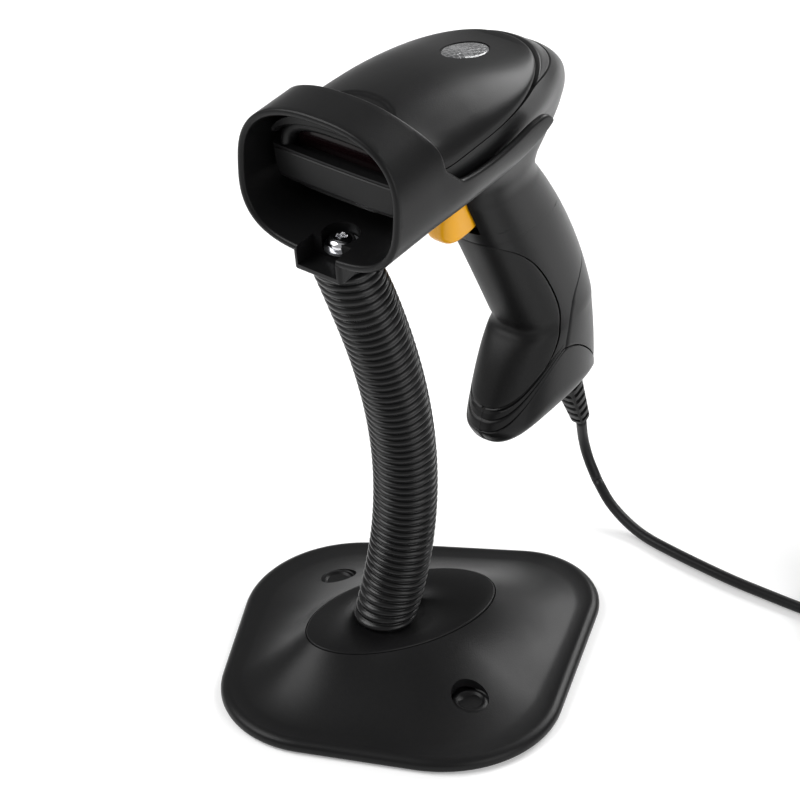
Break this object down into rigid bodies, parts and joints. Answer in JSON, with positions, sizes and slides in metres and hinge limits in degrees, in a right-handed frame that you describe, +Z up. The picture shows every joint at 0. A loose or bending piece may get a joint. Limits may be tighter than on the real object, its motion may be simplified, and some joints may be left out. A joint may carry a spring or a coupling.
{
  "type": "handheld barcode scanner",
  "caption": "Pistol-grip handheld barcode scanner resting in a cup stand on a corrugated gooseneck, with a domed weighted base, trigger and cable.",
  "frame": {"origin": "centre of the stand's base on the desk, under the dome", "axes": "+Z up; the stand's broad nose points to -Y; +X to its right side"},
  "size_m": [0.1944, 0.3019, 0.2394],
  "materials": {
    "black_abs": "fine satin grain",
    "dark_trim": "satin",
    "black_rubber": "soft matt",
    "black_pvc": "satin",
    "steel": "satin",
    "chrome": "polished plating",
    "smoked_window": "gloss, tinted",
    "clear_lens": "clear gloss",
    "orange_abs": "satin",
    "inner_plastic": "matt",
    "mirror": "mirror coating",
    "circuit_board": "semi gloss solder mask",
    "velcro": "woven"
  },
  "bodies": {
    "stand": {"base_cover": "black_abs", "base_trim": "dark_trim", "ballast_plate": "steel", "anti_slip_mat": "black_rubber", "neck_nut": "steel", "neck_spacer": "steel", "lower_ferrule": "steel", "neck_core": "steel", "neck_sleeve": "black_pvc", "cable_stand": "black_pvc", "cable_coil": "black_pvc", "coil_tie": "velcro", "usb_body": "black_abs", "usb_shell": "steel"},
    "cup": {"upper_ferrule": "steel", "cup": "black_abs", "cup_screw": "chrome", "cup_washer": "steel", "cable_head": "black_pvc"},
    "scanner": {"top_cover": "black_abs", "cover_gasket": "black_rubber", "rear_bumper": "dark_trim", "housing_left": "black_abs", "housing_right": "black_abs", "exit_window": "smoked_window", "lamp_window": "clear_lens", "light_pipe": "clear_lens", "grip_pad": "black_rubber", "spine_cover": "dark_trim", "foot_cap": "black_abs", "trigger_pin": "steel", "trigger_spring": "steel", "trigger_switch": "inner_plastic", "inner_frame": "inner_plastic", "main_board": "circuit_board", "engine_chassis": "inner_plastic", "fold_mirror": "mirror", "lens_barrel": "clear_lens", "sensor_board": "circuit_board", "light_board": "circuit_board", "beeper": "inner_plastic", "frame_screws": "steel", "handle_board": "circuit_board", "cable_socket": "inner_plastic", "inner_plug": "inner_plastic", "strain_relief": "black_pvc"},
    "trigger": {"trigger": "orange_abs"}
  },
  "joints": [
    {"name": "neck_bend", "type": "hinge", "parent": "stand", "child": "cup", "pos_m": [0.0015, 0.0015, 0.085], "axis": [0.9511, 0.309, 0], "range_deg": [-6, 15], "deforming": ["neck_sleeve", "neck_core", "cable_stand"]},
    {"name": "scanner_lift", "type": "slide", "parent": "cup", "child": "scanner", "axis": [-0.307, 0.9449, 0.1132], "range_m": [0, 0.09], "deforming": ["cable_head"]},
    {"name": "trigger_pull", "type": "hinge", "parent": "scanner", "child": "trigger", "pos_m": [-0.01241, 0.03137, 0.18584], "axis": [0.9511, 0.309, 0], "range_deg": [0, 6], "stiffness_Nm_per_rad": 0.6, "springref_deg": -2.86, "deforming": ["trigger_spring"]}
  ]
}
